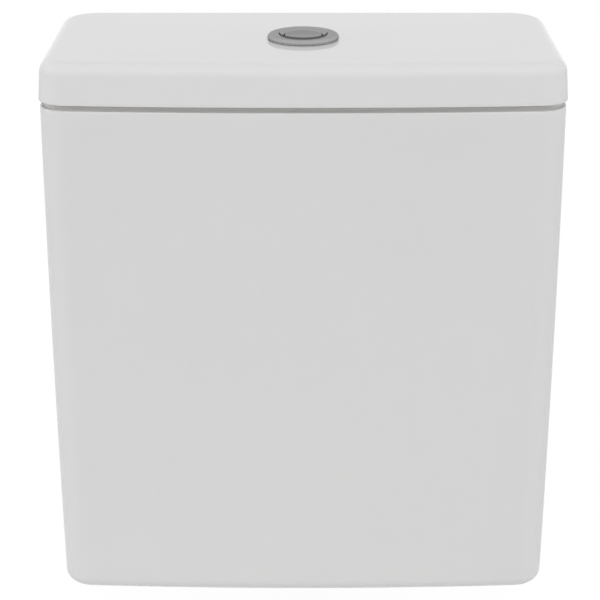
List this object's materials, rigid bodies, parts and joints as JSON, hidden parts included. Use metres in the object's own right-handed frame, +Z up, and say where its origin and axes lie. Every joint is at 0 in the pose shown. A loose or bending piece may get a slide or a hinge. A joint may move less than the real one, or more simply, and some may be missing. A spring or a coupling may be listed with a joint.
{
  "type": "toilet cistern",
  "caption": "Close-coupled toilet cistern: bowed glazed ceramic tank and lid, round chromed dual flush button, flush valve and bottom-inlet fill valve inside.",
  "frame": {"origin": "on the axis of the outlet, in the plane of the tank's underside", "axes": "+Z up, front towards -Y, +X to the right seen from the front"},
  "size_m": [0.36, 0.1805, 0.4458],
  "materials": {
    "glaze": "smooth glossy white glaze",
    "chrome": "chromed, lightly satin",
    "white_plastic": "moulded",
    "blue_plastic": "moulded",
    "orange_plastic": "moulded",
    "float_plastic": "moulded",
    "rubber": "matt black",
    "pale_rubber": "pale silicone",
    "red_seal": "red silicone",
    "foam": "closed-cell foam",
    "spring_steel": "drawn wire",
    "steel": "turned",
    "brass": "turned"
  },
  "bodies": {
    "cistern": {"tank": "glaze", "valve_base": "white_plastic", "base_washer": "rubber", "tail_nut": "white_plastic", "foam_ring": "foam", "valve_cage": "white_plastic", "rocker_bracket": "white_plastic", "full_rocker_pin": "steel", "half_rocker_pin": "steel", "fill_shank": "white_plastic", "shank_washer": "rubber", "shank_nut": "brass", "inlet_filter": "float_plastic", "fill_riser": "white_plastic", "lock_ring": "blue_plastic", "valve_head": "white_plastic", "diaphragm": "rubber", "head_cap": "blue_plastic", "lever_pin": "steel", "coupling_bolts": "steel", "inner_rubber_washers": "rubber", "inner_steel_washers": "steel", "outer_rubber_washers": "rubber", "outer_steel_washers": "steel", "coupling_nuts": "brass"},
    "lid": {"lid": "glaze", "lid_pads": "pale_rubber", "button_surround": "chrome", "surround_seal": "pale_rubber", "clamp_nut": "white_plastic", "guide_plate": "white_plastic", "full_spring": "spring_steel", "half_spring": "spring_steel"},
    "full_button": {"full_flush_button": "chrome", "full_push_rod": "blue_plastic"},
    "half_button": {"half_flush_button": "chrome", "half_push_rod": "blue_plastic"},
    "full_rocker": {"full_rocker": "orange_plastic"},
    "half_rocker": {"half_rocker": "orange_plastic"},
    "yoke": {"lift_yoke": "orange_plastic"},
    "valve_stem": {"overflow_tube": "white_plastic", "main_seal": "red_seal", "seal_retainer": "white_plastic", "flush_float": "float_plastic", "lift_strap": "orange_plastic"},
    "float": {"float_cup": "float_plastic", "float_rod": "white_plastic", "level_adjuster": "blue_plastic"},
    "lever": {"fill_lever": "orange_plastic"}
  },
  "joints": [
    {"name": "lid_lift", "type": "slide", "parent": "cistern", "child": "lid", "axis": [0, 0, 1], "range_m": [0, 0.15]},
    {"name": "full_press", "type": "slide", "parent": "lid", "child": "full_button", "axis": [0, 0, -1], "range_m": [0, 0.007], "stiffness_N_per_m": 250, "springref_m": -0.012, "deforming": ["full_spring"]},
    {"name": "half_press", "type": "slide", "parent": "lid", "child": "half_button", "axis": [0, 0, -1], "range_m": [0, 0.007], "stiffness_N_per_m": 250, "springref_m": -0.012, "deforming": ["half_spring"]},
    {"name": "full_rock", "type": "hinge", "parent": "cistern", "child": "full_rocker", "pos_m": [0, -0.031, 0.306], "axis": [-1, 0, 0], "range_deg": [0, 22.94]},
    {"name": "half_rock", "type": "hinge", "parent": "cistern", "child": "half_rocker", "pos_m": [0, 0.0218, 0.306], "axis": [1, 0, 0], "range_deg": [0, 22.94]},
    {"name": "yoke_lift", "type": "slide", "parent": "cistern", "child": "yoke", "axis": [0, 0, 1], "range_m": [0, 0.01026]},
    {"name": "stem_lift", "type": "slide", "parent": "yoke", "child": "valve_stem", "axis": [0, 0, 1], "range_m": [0, 0.01026]},
    {"name": "float_rise", "type": "slide", "parent": "cistern", "child": "float", "axis": [0, 0, 1], "range_m": [0, 0.016]},
    {"name": "lever_swing", "type": "hinge", "parent": "cistern", "child": "lever", "pos_m": [-0.128, 0.012, 0.31], "axis": [0, -1, 0], "range_deg": [0, 20.08]}
  ],
  "couplings": [
    {"joint": "full_rock", "follows": "full_press", "rad_per_m": 57.061},
    {"joint": "yoke_lift", "follows": "full_press", "ratio": 1.4586},
    {"joint": "half_rock", "follows": "half_press", "rad_per_m": 57.061},
    {"joint": "stem_lift", "follows": "half_press", "ratio": 1.4586},
    {"joint": "lever_swing", "follows": "float_rise", "rad_per_m": 21.85}
  ]
}
